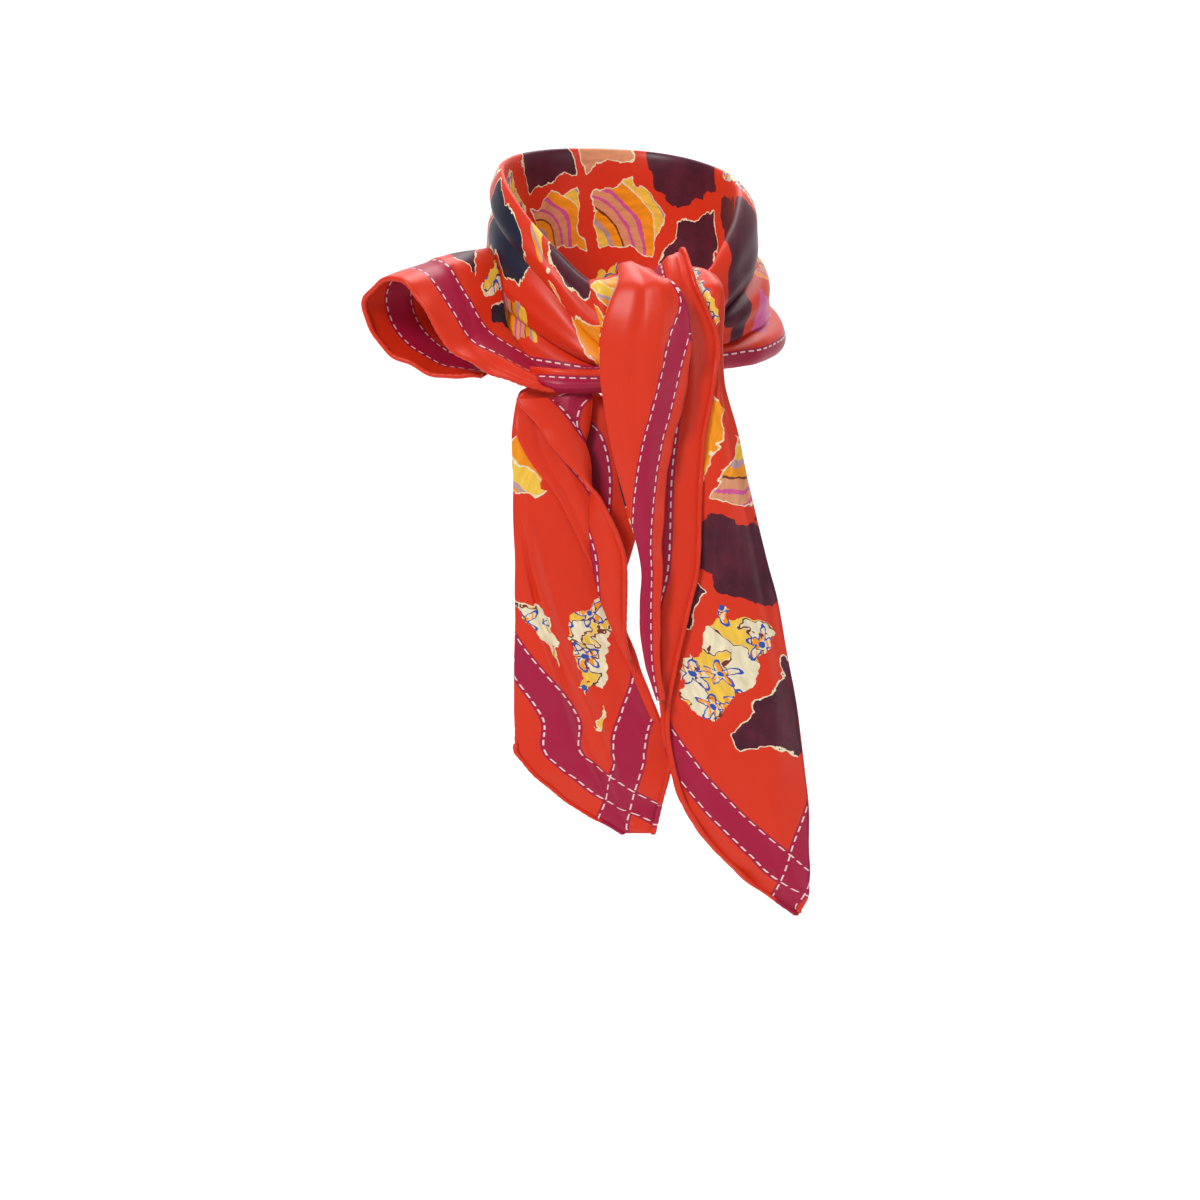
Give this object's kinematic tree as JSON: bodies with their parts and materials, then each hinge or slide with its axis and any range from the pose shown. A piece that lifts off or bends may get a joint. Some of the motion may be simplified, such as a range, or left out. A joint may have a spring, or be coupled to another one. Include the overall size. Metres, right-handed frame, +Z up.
{
  "type": "silk square scarf",
  "caption": "Printed silk square worn round the neck, with a half knot in front, two hanging corners and a flute of hem at one shoulder.",
  "frame": {"origin": "middle of the neck that the loop goes round, 44 mm below the loop's upper edge at the nape", "axes": "+Z up along the neck, the wearer faces -Y, +X is the wearer's left"},
  "size_m": [0.207, 0.1858, 0.333],
  "materials": {
    "silk_twill": "satin sheen"
  },
  "bodies": {
    "root": {"right_tail": "silk_twill", "right_tail_cover": "silk_twill", "left_tail": "silk_twill", "left_tail_ruffle": "silk_twill", "neck_loop_top": "silk_twill", "neck_loop_middle": "silk_twill", "neck_loop_lower": "silk_twill", "neck_loop_inside": "silk_twill", "shoulder_flap": "silk_twill", "knot_band": "silk_twill"}
  },
  "joints": []
}
